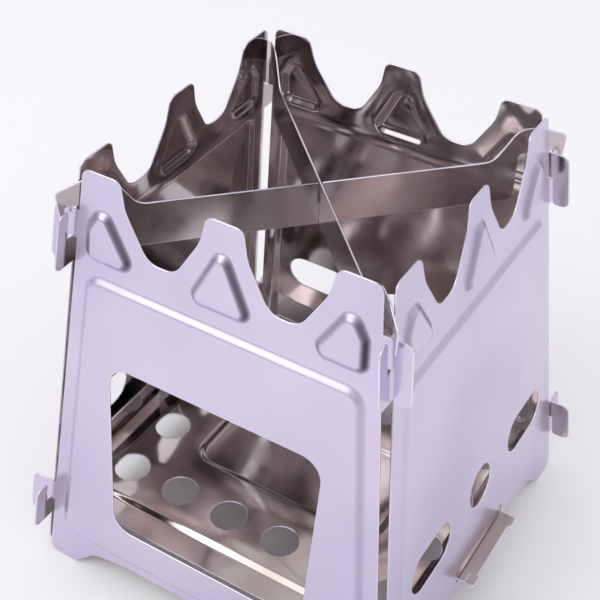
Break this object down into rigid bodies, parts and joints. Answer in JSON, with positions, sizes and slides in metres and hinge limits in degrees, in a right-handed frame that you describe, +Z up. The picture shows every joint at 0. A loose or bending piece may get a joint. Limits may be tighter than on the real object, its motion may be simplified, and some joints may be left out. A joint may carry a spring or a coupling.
{
  "type": "twig stove",
  "caption": "Knock-down camp stove of thin polished steel plates hooked together at leaning corners, with toothed rim, feed window, crossed pot strips and an ash tray.",
  "frame": {"origin": "centre of the footprint, on the ground", "axes": "+Z up, the feed window in the wall towards -Y, the tray's tongue comes out of the wall towards +X"},
  "size_m": [0.1445, 0.1444, 0.155],
  "materials": {
    "wall_steel": "mirror polished stainless steel",
    "strip_steel": "mirror polished stainless steel",
    "tray_steel": "mirror polished stainless steel"
  },
  "bodies": {
    "side_walls": {"right_plate": "wall_steel", "left_plate": "wall_steel"},
    "front_wall": {"front_plate": "wall_steel"},
    "back_wall": {"back_plate": "wall_steel"},
    "lower_strip_body": {"lower_strip": "strip_steel"},
    "upper_strip_body": {"upper_strip": "strip_steel"},
    "tray_body": {"ash_tray": "tray_steel"}
  },
  "joints": [
    {"name": "front_plate_lift", "type": "slide", "parent": "side_walls", "child": "front_wall", "axis": [0, 0, 1], "range_m": [0, 0.011]},
    {"name": "back_plate_lift", "type": "slide", "parent": "side_walls", "child": "back_wall", "axis": [0, 0, 1], "range_m": [0, 0.011]},
    {"name": "lower_strip_lift", "type": "slide", "parent": "front_wall", "child": "lower_strip_body", "axis": [0, 0, 1], "range_m": [0, 0.06]},
    {"name": "upper_strip_lift", "type": "slide", "parent": "lower_strip_body", "child": "upper_strip_body", "axis": [0, 0, 1], "range_m": [0, 0.06]},
    {"name": "tray_tilt", "type": "hinge", "parent": "side_walls", "child": "tray_body", "pos_m": [0.06465, 0, 0.0187], "axis": [0, 1, 0], "range_deg": [0, 18]}
  ],
  "couplings": [
    {"joint": "back_plate_lift", "follows": "front_plate_lift", "ratio": 1}
  ]
}
